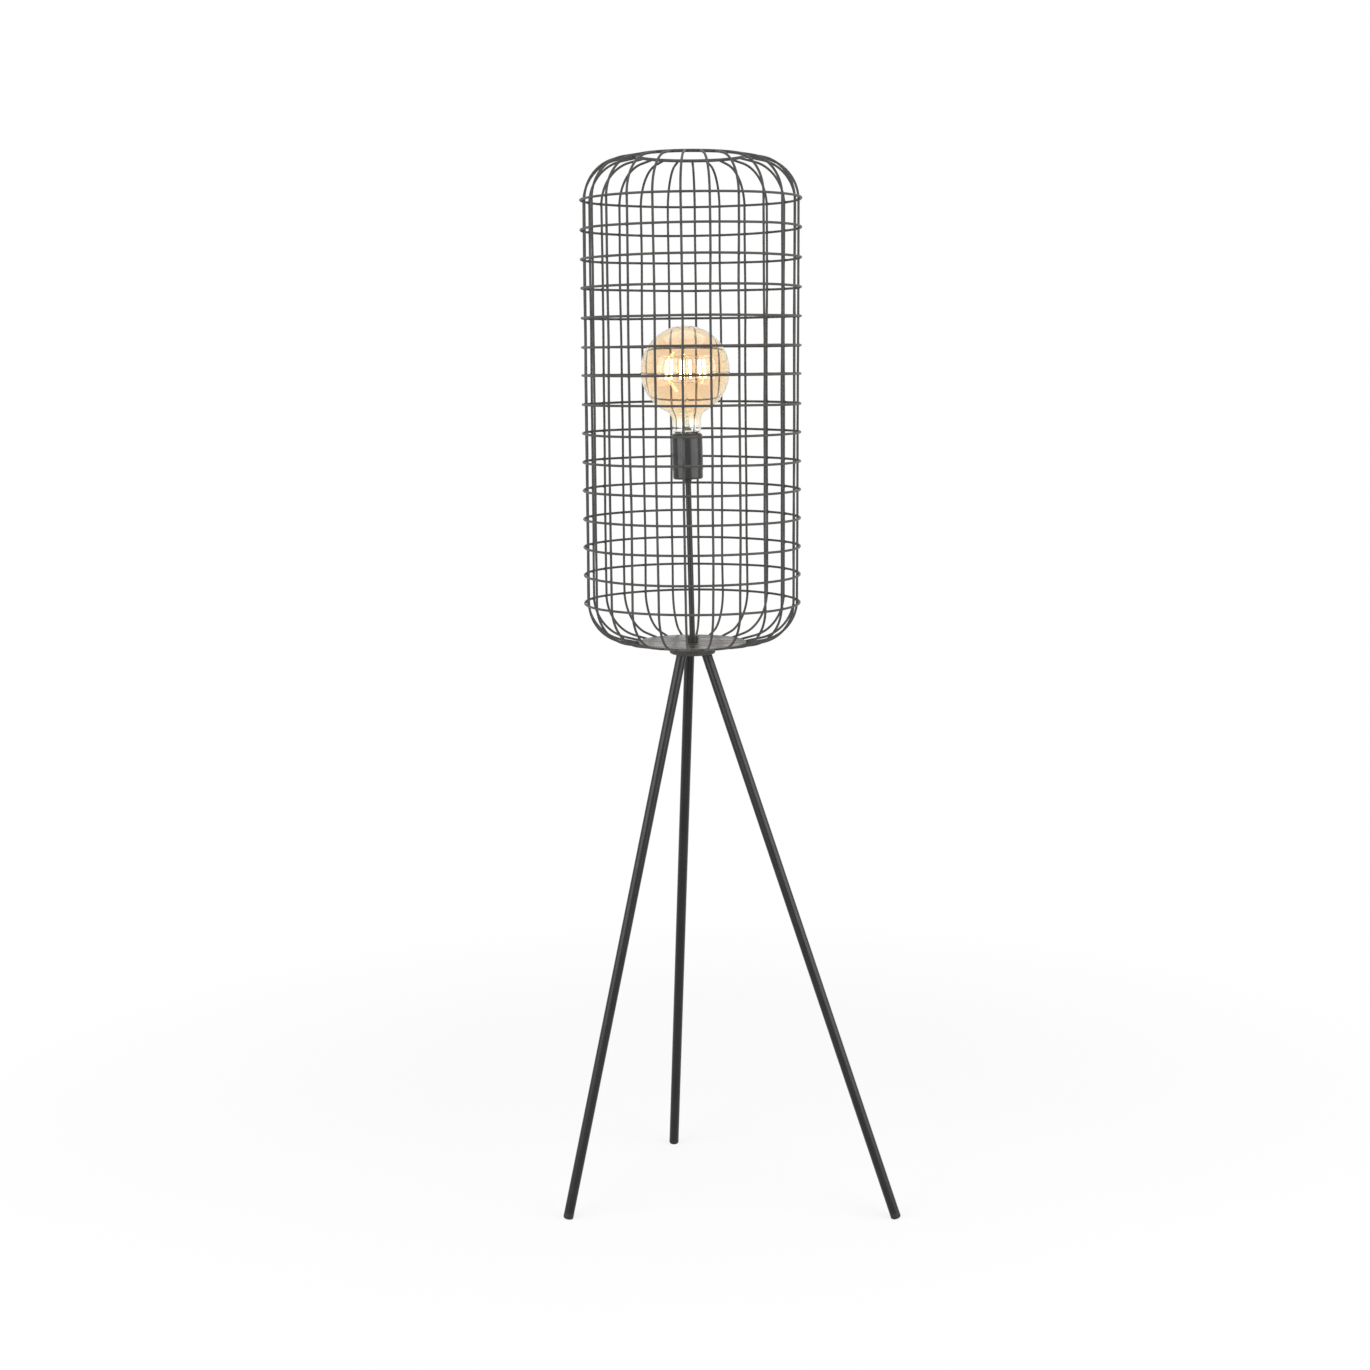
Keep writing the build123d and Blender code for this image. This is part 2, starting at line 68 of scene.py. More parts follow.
# ---- Camera: the photograph's viewpoint ---------------------------------------------------

PHOTO_SIDE = 1370                 # pixels
FOCAL_PIXELS = 2045.7
SENSOR = 36.0                     # mm
FARTHEST_SEEN = 100
CAMERA_AWAY = 2.8976              # from the lamp's axis
CAMERA_HEIGHT = 1.2253
CAMERA_PITCH = math.radians(9.127)
CAMERA_YAW = math.radians(-0.218)
CAMERA_ROLL = math.radians(-0.269)


def add_camera():
    forward = Vector((
        math.sin(CAMERA_YAW) * math.cos(CAMERA_PITCH),
        math.cos(CAMERA_YAW) * math.cos(CAMERA_PITCH),
        -math.sin(CAMERA_PITCH),
    ))
    right = Vector((math.cos(CAMERA_YAW), -math.sin(CAMERA_YAW), 0))
    up = right.cross(forward)
    turned_right = right * math.cos(CAMERA_ROLL) + up * math.sin(CAMERA_ROLL)
    turned_up = up * math.cos(CAMERA_ROLL) - right * math.sin(CAMERA_ROLL)
    data = bpy.data.cameras.new("camera")
    data.sensor_width = SENSOR
    data.lens = SENSOR * FOCAL_PIXELS / PHOTO_SIDE
    data.clip_end = FARTHEST_SEEN
    camera = bpy.data.objects.new("camera", data)
    turn = Matrix((turned_right, turned_up, -forward)).transposed().to_4x4()
    place = AXIS + Vector((0, -CAMERA_AWAY, CAMERA_HEIGHT))
    camera.matrix_world = Matrix.Translation(place) @ turn
    bpy.context.scene.collection.objects.link(camera)
    bpy.context.scene.camera = camera


# ---- Materials ----------------------------------------------------------------------------

NOISE_LOW = 0.3                   # nearly all of a noise's values lie between these two
NOISE_HIGH = 0.7
GLASS_IOR = 1.46
GLASS_CLEAR_TO = 1.122            # height at which the amber coat starts
GLASS_AMBER_FROM = 1.152          # and at which it is full
PAINTED_RIM_FROM = 0.25                   # how far glass faces away where the painted reflection, a paler edge, starts
PAINTED_RIM_TO = 0.6
BOARD_TRACKS = 420                # cells to the metre


def math_node(tree, operation, first, second):
    node = tree.nodes.new("ShaderNodeMath")
    node.operation = operation
    tree.links.new(first, node.inputs[0])
    tree.links.new(second, node.inputs[1])
    return node.outputs["Value"]


class Shader:
    """A node material with a Principled shader, and short ways to add what its surface shows."""

    def __init__(self, name, roughness=0.5, metallic=0.0, specular=0.5):
        self.material = bpy.data.materials.new(name)
        self.material.use_nodes = True
        self.tree = self.material.node_tree
        self.surface = self.tree.nodes["Principled BSDF"]
        self.set("Roughness", roughness)
        self.set("Metallic", metallic)
        self.set("Specular IOR Level", specular)
        self.where = self.tree.nodes.new("ShaderNodeTexCoord").outputs["Object"]

    def set(self, socket, value):
        self.surface.inputs[socket].default_value = value

    def link(self, output, socket):
        self.tree.links.new(output, self.surface.inputs[socket])

    def noise(self, scale, detail, stretch=None):
        """Noise over the piece's own metres; stretch squeezes or draws it out along X, Y, Z."""
        node = self.tree.nodes.new("ShaderNodeTexNoise")
        node.inputs["Scale"].default_value = scale
        node.inputs["Detail"].default_value = detail
        source = self.where
        if stretch:
            mapping = self.tree.nodes.new("ShaderNodeMapping")
            mapping.inputs["Scale"].default_value = stretch
            self.tree.links.new(source, mapping.inputs["Vector"])
            source = mapping.outputs["Vector"]
        self.tree.links.new(source, node.inputs["Vector"])
        return node.outputs["Fac"]

    def height(self):
        """How high a point stands above the floor, in metres."""
        split = self.tree.nodes.new("ShaderNodeSeparateXYZ")
        self.tree.links.new(self.where, split.inputs["Vector"])
        return split.outputs["Z"]

    def ramp(self, factor, stops):
        """Colours at shares of a factor."""
        node = self.tree.nodes.new("ShaderNodeValToRGB")
        elements = node.color_ramp.elements
        while len(elements) < len(stops):
            elements.new(0.5)
        for element, (at, colour) in zip(elements, stops):
            element.position = at
            element.color = (*colour, 1)
        self.tree.links.new(factor, node.inputs["Fac"])
        return node.outputs["Color"]

    def tones(self, noise, first, second, low=NOISE_LOW, high=NOISE_HIGH):
        """From one colour to another as a noise grows."""
        return self.ramp(noise, [(low, first), (high, second)])

    def remap(self, value, low, high, to_low, to_high):
        node = self.tree.nodes.new("ShaderNodeMapRange")
        node.inputs["From Min"].default_value = low
        node.inputs["From Max"].default_value = high
        node.inputs["To Min"].default_value = to_low
        node.inputs["To Max"].default_value = to_high
        self.tree.links.new(value, node.inputs["Value"])
        return node.outputs["Result"]

    def gloss(self, noise, smooth, rough, low=NOISE_LOW, high=NOISE_HIGH):
        """Lets the roughness vary with a noise."""
        self.link(self.remap(noise, low, high, smooth, rough), "Roughness")

    def mix(self, factor, first, second):
        """From a colour output to a plain colour as the factor grows."""
        node = self.tree.nodes.new("ShaderNodeMixRGB")
        self.tree.links.new(factor, node.inputs["Fac"])
        self.tree.links.new(first, node.inputs["Color1"])
        node.inputs["Color2"].default_value = (*second, 1)
        return node.outputs["Color"]

    def bump(self, factor, depth, strength):
        """Relief of a depth in metres; a second call adds to the first."""
        node = self.tree.nodes.new("ShaderNodeBump")
        node.inputs["Distance"].default_value = depth
        node.inputs["Strength"].default_value = strength
        self.tree.links.new(factor, node.inputs["Height"])
        earlier = self.surface.inputs["Normal"].links
        if earlier:
            self.tree.links.new(earlier[0].from_socket, node.inputs["Normal"])
        self.link(node.outputs["Normal"], "Normal")


def satin_paint(name, dark, light, roughness, specular):
    """Sprayed black paint: faint clouds in its colour and gloss, and orange peel."""
    s = Shader(name, specular=specular)
    s.link(s.tones(s.noise(38, 4), dark, light), "Base Color")
    s.gloss(s.noise(120, 3), roughness - 0.05, roughness + 0.06)
    s.bump(s.noise(900, 2), depth=0.06 * MM, strength=0.5)
    s.bump(s.noise(2600, 1), depth=0.02 * MM, strength=0.4)
    return s.material


def smudged_paint_and_painted_sheen(name, dark, light):
    """Glossy black paint, dulled unevenly by handling and dust; the light beige tone of its
    smudges is also a painted sheen, for the reflection seen at a low view.
    """
    s = Shader(name, specular=0.25)
    smudges_and_painted_sheen = s.noise(22, 5, stretch=(1, 2.2, 1))
    low, high = 0.35, 0.65
    # the light end of these tones is partly real dust, partly a painted sheen
    s.link(s.tones(smudges_and_painted_sheen, dark, light, low, high), "Base Color")
    s.gloss(smudges_and_painted_sheen, 0.17, 0.42, low, high)
    s.bump(s.noise(14, 3), depth=1.2 * MM, strength=0.35)
    s.bump(s.noise(900, 2), depth=0.05 * MM, strength=0.4)
    return s.material


def matte_plastic(name, dark, light):
    """Moulded plastic with a fine grain."""
    s = Shader(name, specular=0.35)
    s.link(s.tones(s.noise(90, 4), dark, light), "Base Color")
    s.gloss(s.noise(300, 3), 0.5, 0.68)
    s.bump(s.noise(2200, 2), depth=0.06 * MM, strength=0.6)
    return s.material


def plated_metal(name, dark, light, roughness=0.25, grain=(1, 1, 12)):
    """Plated or bare metal with fine drawn lines in its gloss."""
    s = Shader(name, metallic=1.0)
    s.link(s.tones(s.noise(60, 4), dark, light), "Base Color")
    lines = s.noise(700, 2, stretch=grain)
    s.gloss(lines, roughness - 0.07, roughness + 0.1)
    s.bump(lines, depth=0.03 * MM, strength=0.4)
    return s.material


def glazed(name, dark, light, roughness=0.12):
    """Porcelain or opaque glass."""
    s = Shader(name)
    s.link(s.tones(s.noise(50, 3), dark, light), "Base Color")
    s.gloss(s.noise(400, 3), roughness, roughness + 0.1)
    s.bump(s.noise(500, 2), depth=0.04 * MM, strength=0.4)
    return s.material


def circuit_board(name):
    """Green lacquer, lighter over the raised tracks."""
    s = Shader(name, roughness=0.4)
    tracks = s.tree.nodes.new("ShaderNodeTexVoronoi")
    tracks.feature = "DISTANCE_TO_EDGE"
    tracks.inputs["Scale"].default_value = BOARD_TRACKS
    s.tree.links.new(s.where, tracks.inputs["Vector"])
    edges = tracks.outputs["Distance"]
    s.link(s.tones(edges, (0.03, 0.2, 0.07), (0.012, 0.09, 0.03), 0.03, 0.09), "Base Color")
    s.bump(edges, depth=0.08 * MM, strength=0.5)
    return s.material


def see_through(name, roughness):
    """A glass that is still without colour and relief."""
    s = Shader(name, roughness=roughness)
    s.set("Transmission Weight", 1.0)
    s.set("IOR", GLASS_IOR)
    return s


def amber_glass(name):
    """Glass with an amber coat inside, thin at the neck, and a painted reflection that makes the
    globe's edge paler.
    """
    s = see_through(name, roughness=0.015)
    coat = s.remap(s.height(), GLASS_CLEAR_TO, GLASS_AMBER_FROM, 0.0, 1.0)
    tint = s.ramp(coat, [
        (0.0, (0.98, 0.985, 0.975)),
        (0.25, (0.975, 0.95, 0.87)),
        (0.6, (0.97, 0.9, 0.74)),
        (1.0, (0.95, 0.78, 0.59)),
    ])
    # painted reflection: the base colour pales towards the globe's edge, where the glass faces
    # away
    facing = s.tree.nodes.new("ShaderNodeLayerWeight").outputs["Facing"]
    painted_rim_reflection = math_node(s.tree, "MULTIPLY", s.remap(facing, PAINTED_RIM_FROM, PAINTED_RIM_TO, 0.0, 1.0), coat)
    s.link(s.mix(painted_rim_reflection, tint, (0.985, 0.93, 0.74)), "Base Color")
    s.bump(s.noise(26, 2), depth=0.4 * MM, strength=0.12)
    return s.material


def clear_glass(name):
    s = see_through(name, roughness=0.02)
    s.link(s.tones(s.noise(80, 2), (0.93, 0.96, 0.95), (0.97, 0.98, 0.97)), "Base Color")
    s.bump(s.noise(160, 2), depth=0.2 * MM, strength=0.2)
    return s.material


def glowing(name, core, edge, strength):
    """The filaments' phosphor coat, alight."""
    s = Shader(name, roughness=0.6)
    light = s.tones(s.noise(900, 2), edge, core)
    s.link(light, "Base Color")
    s.link(light, "Emission Color")
    s.set("Emission Strength", strength)
    s.bump(s.noise(1800, 2), depth=0.1 * MM, strength=0.6)
    return s.material


def grey(value):
    """A neutral colour that is a touch warm, as black paint under studio light is."""
    return value * 1.03, value, value * 0.97


PAINT = {
    "cage": satin_paint("cage_paint", grey(0.042), grey(0.06), 0.42, 0.15),
    # the plate's light beige tone is partly a painted sheen
    "plate": smudged_paint_and_painted_sheen("plate_paint", (0.016, 0.014, 0.012), (0.1, 0.085, 0.071)),
    "leg": satin_paint("leg_paint", grey(0.004), grey(0.009), 0.3, 0.33),
    "stem": satin_paint("stem_paint", grey(0.02), grey(0.032), 0.34, 0.2),
    "holder": satin_paint("holder_paint", grey(0.014), grey(0.02), 0.22, 0.38),
}
FOOT = matte_plastic("foot_plastic", grey(0.010), grey(0.018))
BUSH = matte_plastic("bush_plastic", grey(0.012), grey(0.02))
ZINC = plated_metal("zinc_plating", (0.5, 0.5, 0.48), (0.68, 0.68, 0.66))
BRONZE = plated_metal("contact_bronze", (0.48, 0.26, 0.11), (0.66, 0.4, 0.19), 0.3)
NICKEL = plated_metal("plated_brass", (0.6, 0.58, 0.53), (0.76, 0.74, 0.7), 0.2, (12, 12, 1))
SOLDER = plated_metal("solder_tin", (0.52, 0.53, 0.54), (0.7, 0.7, 0.71), 0.3, (3, 3, 3))
PORCELAIN = glazed("porcelain", (0.74, 0.72, 0.67), (0.86, 0.84, 0.8))
BLACK_GLASS = glazed("black_glass", (0.008, 0.008, 0.012), (0.02, 0.02, 0.028), 0.08)
BOARD = circuit_board("circuit_board")
AMBER = amber_glass("amber_glass")
CLEAR = clear_glass("clear_glass")
GLOW = glowing("glowing_filament", (1.0, 0.86, 0.52), (1.0, 0.74, 0.36), 16.0)
LEAD = plated_metal("lead_wire", (0.42, 0.41, 0.4), (0.58, 0.57, 0.55), 0.3)

NODE_MATERIALS = {
    "top_ring": PAINT["cage"],
    "bottom_plate": PAINT["plate"],
    # painted light: the hub takes the cage's lighter paint to brighten its front, which the plate
    # shades
    "hub": PAINT["cage"],
    "leg_studs": ZINC,
    "stem": PAINT["stem"],
    "stem_collar": PAINT["stem"],
    "cable_bush": BUSH,
    "holder_cap": PAINT["holder"],
    "holder_cover": PAINT["holder"],
    "holder_nut": ZINC,
    "holder_insert": PORCELAIN,
    "terminal_screws": ZINC,
    "centre_contact": BRONZE,
    "screw_shell": NICKEL,
    "bulb_cap": NICKEL,
    "bulb_contact": SOLDER,
    "bulb_insulator": BLACK_GLASS,
    "bulb_glass": AMBER,
    "bulb_mount": CLEAR,
    "filaments": GLOW,
    "filament_leads_lower": LEAD,
    "filament_leads_upper": LEAD,
    "lead_in_wires": LEAD,
    "driver_board": BOARD,
}
for name in RING_NODES + UPRIGHT_NODES:
    NODE_MATERIALS[name] = PAINT["cage"]
for side in ("right", "rear", "left"):
    NODE_MATERIALS[f"leg_{side}"] = PAINT["leg"]
    NODE_MATERIALS[f"leg_insert_{side}"] = ZINC
    NODE_MATERIALS[f"foot_{side}"] = FOOT

for name, material in NODE_MATERIALS.items():
    nodes[name].data.materials.clear()
    nodes[name].data.materials.append(material)


# ---- Mesh tools ---------------------------------------------------------------------------


def add_piece(name, mesh, material, body):
    """Turns a bmesh into a smooth piece of the lamp that rides on a body."""
    data = bpy.data.meshes.new(name)
    bmesh.ops.recalc_face_normals(mesh, faces=mesh.faces)
    mesh.to_mesh(data)
    mesh.free()
    data.polygons.foreach_set("use_smooth", [True] * len(data.polygons))
    data.materials.append(material)
    piece = bpy.data.objects.new(name, data)
    bpy.context.scene.collection.objects.link(piece)
    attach(piece, body)
    return piece


def vertex_ring(mesh, centre, side, other, radius, count):
    """Adds vertices round a centre, in the plane of two directions."""
    return [
        mesh.verts.new(centre + radius * (math.cos(a) * side + math.sin(a) * other))
        for a in (2 * math.pi * k / count for k in range(count))
    ]


def bridge(mesh, first, second):
    """Adds the band of faces between two rings of vertices."""
    for k in range(len(first)):
        m = (k + 1) % len(first)
        mesh.faces.new((first[k], first[m], second[m], second[k]))


def tube(mesh, points, radius, hint, closed=False, sides=12):
    """Adds a round tube through points; the hint is a direction across all of it."""
    rings = []
    count = len(points)
    for i, point in enumerate(points):
        before = points[i - 1] if closed or i else point
        after = points[(i + 1) % count] if closed or i < count - 1 else point
        along = (after - before).normalized()
        side = along.cross(hint).normalized()
        rings.append(vertex_ring(mesh, point, side, side.cross(along), radius, sides))
    pairs = list(zip(rings, rings[1:]))
    if closed:
        pairs.append((rings[-1], rings[0]))
    else:
        mesh.faces.new(rings[0])
        mesh.faces.new(rings[-1])
    for first, second in pairs:
        bridge(mesh, first, second)


def capsule(mesh, start, end, radius, sides=16, cap_steps=5):
    """Adds a rod with rounded ends."""
    along = (end - start).normalized()
    side = along.orthogonal().normalized()
    other = along.cross(side)
    rings = []
    for k in range(1, cap_steps + 1):
        a = math.pi / 2 * (1 - k / cap_steps)
        point = start + along * radius * (1 - math.sin(a))
        rings.append(vertex_ring(mesh, point, side, other, radius * math.cos(a), sides))
    for k in range(cap_steps):
        a = math.pi / 2 * k / cap_steps
        point = end - along * radius * (1 - math.sin(a))
        rings.append(vertex_ring(mesh, point, side, other, radius * math.cos(a), sides))
    first_tip = mesh.verts.new(start)
    last_tip = mesh.verts.new(end)
    for k in range(sides):
        m = (k + 1) % sides
        mesh.faces.new((first_tip, rings[0][m], rings[0][k]))
        mesh.faces.new((last_tip, rings[-1][k], rings[-1][m]))
    for first, second in zip(rings, rings[1:]):
        bridge(mesh, first, second)


def blob(mesh, centre, across, out, up, sizes):
    """Adds a rounded lump with half sizes along three directions."""
    stretch = Matrix((across * sizes[0], out * sizes[1], up * sizes[2])).transposed().to_4x4()
    bmesh.ops.create_icosphere(
        mesh, subdivisions=2, radius=1, matrix=Matrix.Translation(centre) @ stretch
    )


# ---- Cage: bent by hand, so no wire runs quite true ---------------------------------------

CHANCE = random.Random(24)

# The CAD's own sizes
ring_low, ring_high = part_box(RING_NODES[0])
WIRE_R = (ring_high.z - ring_low.z) / 2
RING_R = (ring_high.x - ring_low.x) / 2 - WIRE_R
TOUCH_GAP = 0.1 * MM
UPRIGHT_R = RING_R - 2 * WIRE_R - TOUCH_GAP
plate_low, plate_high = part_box("bottom_plate")
RIM_R = (plate_high.x - plate_low.x) / 2      # outer edge of the plate and of the top ring
PLATE_Z = middle("bottom_plate").z
TOP_RING_Z = middle("top_ring").z
SHOULDER_R = 58 * MM
CROWN_SLOPE = math.radians(10)
UPRIGHT_COUNT = 24
PER_GROUP = UPRIGHT_COUNT // len(UPRIGHT_NODES)
FIRST_UPRIGHT = math.radians(-95.3)
UPRIGHT_DRIFT = math.radians(2.2)

# How the wires stray from them
UPRIGHT_SLANT = 5.4 * MM          # how far an upright's lower end stands to the right
UPRIGHT_SLANT_CHANCE = 1.4 * MM
UPRIGHT_SHIFT_CHANCE = 0.9 * MM
STRAYED = {12: -3.2 * MM, 13: -3.4 * MM}      # two wires at the back that stand well aside
UPRIGHT_STRAY = 0.4 * MM          # waves to the sides, and their length
UPRIGHT_STRAY_PITCH = 0.42
UPRIGHT_DENT = 0.22 * MM          # waves inwards, and their length
UPRIGHT_DENT_PITCH = 0.3
RING_TILT = 1.5 * MM              # of the highest ring, whose left side hangs low
RING_HEIGHT_CHANCE = 0.5 * MM
RING_WAVES = 0.3 * MM

# Welds: their half sizes are in radii of the wire
WELD_SINK = 0.2 * MM              # how far a weld's middle lies inside a rim or a ring
JOINT_GIRTH = 1.1
RING_WELD_SIZES = (1.15, 1.5)
END_WELD_WIDTHS = (1.2, 1.6)
END_WELD_DEPTH = 1.3
END_WELD_HEIGHT = 0.95

SHOULDER_STEPS = 14
STRAIGHT_STEPS = 60
RING_STEPS = 192


def outward(turn):
    return Vector((math.cos(turn), math.sin(turn), 0))


def sideways(turn):
    return Vector((-math.sin(turn), math.cos(turn), 0))


def either_way(size):
    return CHANCE.uniform(-size, size)


def wander(size, pitch):
    """A smooth random function of a length: three sine waves, the longest with that pitch."""
    waves = [
        (size / n, 2 * math.pi * n / pitch, CHANCE.uniform(0, 2 * math.pi)) for n in (1, 2, 3)
    ]
    return lambda at: sum(height * math.sin(pace * at + start) for height, pace, start in waves)


def upright_profile():
    """Radius and height along an upright wire, from the plate up to the top ring."""
    end_r = RIM_R + TOUCH_GAP + WIRE_R * math.sin(CROWN_SLOPE)
    drop = (UPRIGHT_R - end_r) * math.tan(CROWN_SLOPE)
    bend = math.pi / 2 - CROWN_SLOPE
    tangent = SHOULDER_R * math.tan(bend / 2)
    low_z = PLATE_Z + drop + tangent
    high_z = TOP_RING_Z - drop - tangent
    corner_r = UPRIGHT_R - SHOULDER_R
    low, high = [], []
    for k in range(SHOULDER_STEPS + 1):
        a = bend * k / SHOULDER_STEPS
        radius = corner_r + SHOULDER_R * math.cos(a)
        low.append((radius, low_z - SHOULDER_R * math.sin(a)))
        high.append((radius, high_z + SHOULDER_R * math.sin(a)))
    rise = high_z - low_z
    straight = [(UPRIGHT_R, low_z + rise * k / STRAIGHT_STEPS) for k in range(1, STRAIGHT_STEPS)]
    return [(end_r, PLATE_Z)] + low[::-1] + straight + high + [(end_r, TOP_RING_Z)]


class Upright:
    """An upright wire's own direction, and how far it strays at each height."""

    def __init__(self, number):
        even_turn = FIRST_UPRIGHT + 2 * math.pi * number / UPRIGHT_COUNT
        self.turn = even_turn + UPRIGHT_DRIFT * (1 + math.sin(even_turn))
        self.shift = either_way(UPRIGHT_SHIFT_CHANCE) + STRAYED.get(number, 0)
        self.lean = UPRIGHT_SLANT * math.sin(self.turn) + either_way(UPRIGHT_SLANT_CHANCE)
        self.stray = wander(UPRIGHT_STRAY, UPRIGHT_STRAY_PITCH)
        self.dent = wander(UPRIGHT_DENT, UPRIGHT_DENT_PITCH)

    def turn_at(self, height):
        below = (TOP_RING_Z - height) / (TOP_RING_Z - PLATE_Z)
        return self.turn + (self.shift - self.lean * below + self.stray(height)) / UPRIGHT_R

    def at(self, radius, height):
        return AXIS + outward(self.turn_at(height)) * radius + UP * height


class Ring:
    """A ring's middle height, its tilt and waves round the cage, and where its ends meet."""

    def __init__(self, node):
        self.height = middle(node).z + either_way(RING_HEIGHT_CHANCE)
        share = (self.height - PLATE_Z) / (TOP_RING_Z - PLATE_Z)
        self.side_tilt = RING_TILT * share**2
        self.tilt = CHANCE.uniform(0.1, 0.6) * MM
        self.high_side = CHANCE.uniform(0, 2 * math.pi)
        self.waves = wander(RING_WAVES, math.pi)
        self.joint = CHANCE.uniform(0.2, 0.8) * math.pi

    def height_at(self, turn):
        tilt = self.side_tilt * math.cos(turn) + self.tilt * math.cos(turn - self.high_side)
        return self.height + tilt + self.waves(turn)

    def at(self, radius, turn):
        return AXIS + outward(turn) * radius + UP * self.height_at(turn)


uprights = [Upright(number) for number in range(UPRIGHT_COUNT)]
rings = [Ring(node) for node in RING_NODES]


def add_cage_piece(name, mesh):
    return add_piece(name, mesh, PAINT["cage"], "lamp_frame")


def weld(mesh, spot, turn, wide, deep, tall):
    sizes = (WIRE_R * wide, WIRE_R * deep, WIRE_R * tall)
    blob(mesh, spot, sideways(turn), outward(turn), UP, sizes)


def add_uprights():
    profile = upright_profile()
    for group, node in enumerate(UPRIGHT_NODES):
        mesh = bmesh.new()
        for wire in uprights[group * PER_GROUP:(group + 1) * PER_GROUP]:
            points = [wire.at(min(r + wire.dent(z), UPRIGHT_R), z) for r, z in profile]
            tube(mesh, points, WIRE_R, sideways(wire.turn))
        piece = add_cage_piece(f"upright_wires_{group + 1}", mesh)
        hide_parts(node)


def add_ring(name, node, ring):
    """A ring with its butt weld."""
    mesh = bmesh.new()
    points = [ring.at(RING_R, 2 * math.pi * k / RING_STEPS) for k in range(RING_STEPS)]
    tube(mesh, points, WIRE_R, UP, closed=True)
    spot = ring.at(RING_R - WELD_SINK, ring.joint)
    weld(mesh, spot, ring.joint, wide=1, deep=JOINT_GIRTH, tall=JOINT_GIRTH)
    piece = add_cage_piece(name, mesh)
    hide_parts(node)


def add_ring_welds(name, ring):
    """Where a ring crosses the upright wires."""
    mesh = bmesh.new()
    for wire in uprights:
        turn = wire.turn_at(ring.height)
        spot = wire.at((RING_R + UPRIGHT_R) / 2, ring.height_at(turn))
        wide = CHANCE.uniform(*RING_WELD_SIZES)
        tall = CHANCE.uniform(*RING_WELD_SIZES)
        weld(mesh, spot, turn, wide, 1, tall)
    add_cage_piece(name, mesh)


def add_end_welds(name, height):
    """Where the upright wires end on the plate's edge or on the top ring."""
    mesh = bmesh.new()
    for wire in uprights:
        spot = wire.at(RIM_R - WELD_SINK, height)
        wide = CHANCE.uniform(*END_WELD_WIDTHS)
        weld(mesh, spot, wire.turn_at(height), wide, END_WELD_DEPTH, END_WELD_HEIGHT)
    add_cage_piece(name, mesh)


add_uprights()
for number, (ring_node, cage_ring) in enumerate(zip(RING_NODES, rings), start=1):
    add_ring(f"ring_wire_{number:02d}", ring_node, cage_ring)
    add_ring_welds(f"ring_welds_{number:02d}", cage_ring)
add_end_welds("plate_welds", PLATE_Z)
add_end_welds("top_welds", TOP_RING_Z)

# ---- Bulb: the filaments ------------------------------------------------------------------

FILAMENT_COUNT = 6
FILAMENT_PHASE = math.radians(16)
FILAMENT_LENGTH = 30 * MM
FILAMENT_LOW_R = 28.5 * MM        # from the bulb's axis to a filament's lower end
FILAMENT_HIGH_R = 26.5 * MM       # and to its upper end
FILAMENT_R = 1.5 * MM
TAB_LENGTH = 2.6 * MM
TAB_MIDDLE = 0.4 * TAB_LENGTH     # from the filament's end
TAB_HALF_SIZES = (0.7 * MM, 0.45 * MM, 0.6 * TAB_LENGTH)
GLOW_STARTS = 0.6 * TAB_LENGTH    # from the filament's end


def filament_ends():
    """Lower and upper end of each filament, round the leaning bulb's own axis."""
    centre = middle("filaments")
    right = Vector((STEM_UP.z, 0, -STEM_UP.x))
    rise = math.sqrt(FILAMENT_LENGTH**2 - (FILAMENT_LOW_R - FILAMENT_HIGH_R) ** 2)
    ends = []
    for number in range(FILAMENT_COUNT):
        turn = FILAMENT_PHASE + 2 * math.pi * number / FILAMENT_COUNT
        out = right * math.cos(turn) + BACK * math.sin(turn)
        low = centre + out * FILAMENT_LOW_R - STEM_UP * rise / 2
        high = centre + out * FILAMENT_HIGH_R + STEM_UP * rise / 2
        ends.append((low, high))
    return ends


def add_filaments():
    """The glowing sticks, and the metal tabs at their ends."""
    glow = bmesh.new()
    tabs = bmesh.new()
    for start, end in filament_ends():
        along = (end - start).normalized()
        capsule(glow, start + along * GLOW_STARTS, end - along * GLOW_STARTS, FILAMENT_R)
        for tip, way in ((start, along), (end, -along)):
            side = way.orthogonal().normalized()
            blob(tabs, tip + way * TAB_MIDDLE, side, side.cross(way), way, TAB_HALF_SIZES)
    sticks = add_piece("filament_sticks", glow, GLOW, "bulb")
    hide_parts("filaments")
    add_piece("filament_tabs", tabs, LEAD, "bulb")


add_filaments()

# ---- Stage --------------------------------------------------------------------------------

WORLD_LEVEL = 0.2                 # of the light that the world gives
FLOOR_SIDE = 40
FLOOR_GREY = 0.8
FLOOR_WHITE_NEAR = 0.8            # share of the floor that shows as plain white, by the lamp
FLOOR_FADE_FROM = 0.5             # metres from the floor's middle; from here the share grows
FLOOR_FADE_TO = 1.6               # to 1
AIM_HEIGHT = 0.85                 # of the point on the lamp's axis that the softboxes face


def sees_white(tree):
    """1 for the camera, glossy and transmission rays, which see plain white, otherwise 0."""
    path = tree.nodes.new("ShaderNodeLightPath")
    seen = path.outputs["Is Camera Ray"]
    for ray in ("Is Glossy Ray", "Is Transmission Ray"):
        seen = math_node(tree, "MAXIMUM", seen, path.outputs[ray])
    return seen


def mix_surfaces(tree, share, plain, white, surface):
    """Mixes a plain and a white shader into a surface, by the share that is white."""
    mix = tree.nodes.new("ShaderNodeMixShader")
    tree.links.new(share, mix.inputs["Fac"])
    tree.links.new(plain, mix.inputs[1])
    tree.links.new(white, mix.inputs[2])
    tree.links.new(mix.outputs["Shader"], surface)


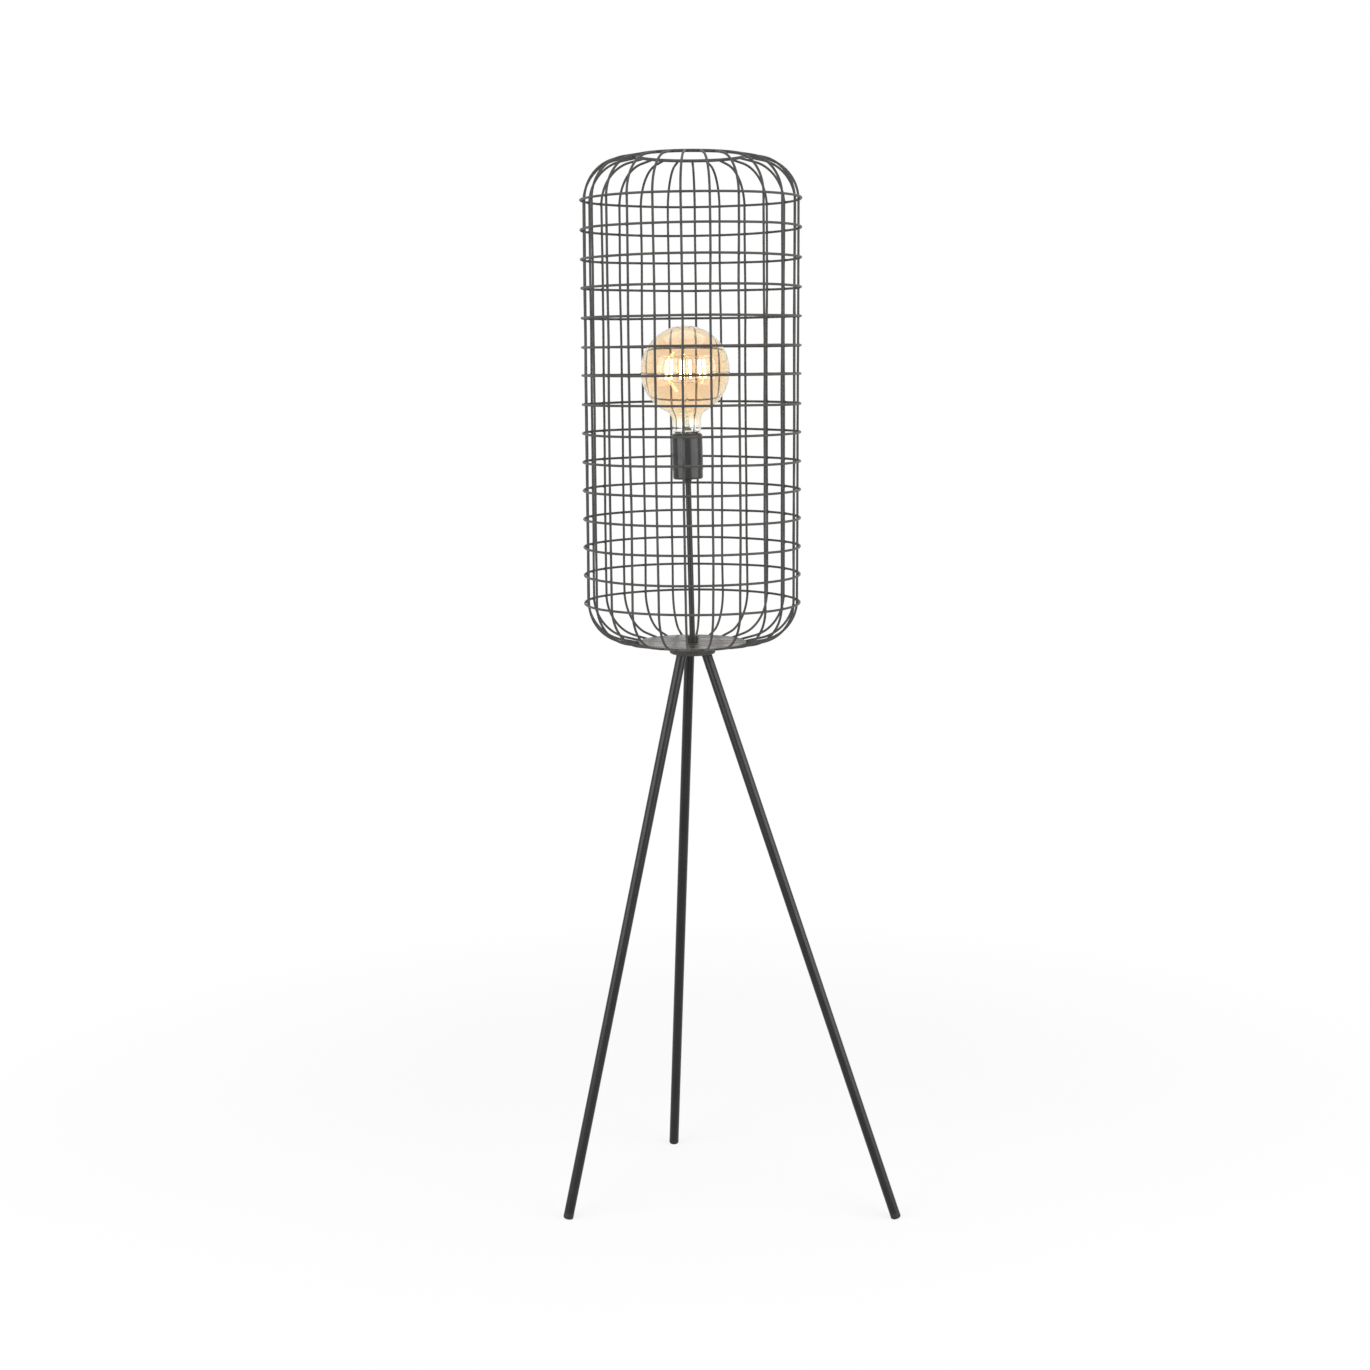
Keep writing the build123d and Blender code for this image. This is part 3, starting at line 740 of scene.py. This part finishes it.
def add_world():
    world = bpy.data.worlds.new("studio")
    bpy.context.scene.world = world
    world.use_nodes = True
    tree = world.node_tree
    plain = tree.nodes["Background"]
    white = tree.nodes.new("ShaderNodeBackground")
    for background, strength in ((plain, WORLD_LEVEL), (white, 1.0)):
        background.inputs["Color"].default_value = WHITE
        background.inputs["Strength"].default_value = strength
    mix_surfaces(
        tree,
        sees_white(tree),
        plain.outputs["Background"],
        white.outputs["Background"],
        tree.nodes["World Output"].inputs["Surface"],
    )


def add_floor():
    """A pale floor that shows as white, and keeps a trace of the lamp's shadow near it."""
    bpy.ops.mesh.primitive_plane_add(size=FLOOR_SIDE)
    floor = bpy.context.object
    floor.name = "floor"
    s = Shader("floor", roughness=1.0, specular=0.0)
    s.set("Base Color", (FLOOR_GREY, FLOOR_GREY, FLOOR_GREY, 1))
    white = s.tree.nodes.new("ShaderNodeEmission")
    white.inputs["Color"].default_value = WHITE
    away = s.tree.nodes.new("ShaderNodeVectorMath")
    away.operation = "LENGTH"
    s.tree.links.new(s.where, away.inputs[0])
    fade = s.remap(
        away.outputs["Value"], FLOOR_FADE_FROM, FLOOR_FADE_TO, FLOOR_WHITE_NEAR, 1.0
    )
    fade.node.interpolation_type = "SMOOTHSTEP"
    mix_surfaces(
        s.tree,
        math_node(s.tree, "MULTIPLY", sees_white(s.tree), fade),
        s.surface.outputs["BSDF"],
        white.outputs["Emission"],
        s.tree.nodes["Material Output"].inputs["Surface"],
    )
    floor.data.materials.append(s.material)


def add_softbox(name, azimuth, away, height, wide, tall, watts):
    """A wide soft lamp that faces the object; azimuth 0 is the camera's side."""
    data = bpy.data.lights.new(name, "AREA")
    data.shape = "RECTANGLE"
    data.size = wide
    data.size_y = tall
    data.energy = watts
    lamp = bpy.data.objects.new(name, data)
    turn = math.radians(azimuth)
    lamp.location = AXIS + Vector((away * math.sin(turn), -away * math.cos(turn), height))
    aim = AXIS + UP * AIM_HEIGHT - lamp.location
    lamp.rotation_euler = aim.to_track_quat("-Z", "Y").to_euler()
    bpy.context.scene.collection.objects.link(lamp)


add_camera()
add_world()
add_floor()
add_softbox("softbox_left", azimuth=-50, away=2.5, height=1.5, wide=2.7, tall=2.5, watts=72)
add_softbox("softbox_right", azimuth=56, away=2.5, height=1.5, wide=2.9, tall=2.5, watts=78)
add_softbox("softbox_top", azimuth=0, away=0, height=3.6, wide=3.2, tall=3.2, watts=48)
bpy.context.scene.view_settings.view_transform = "Standard"
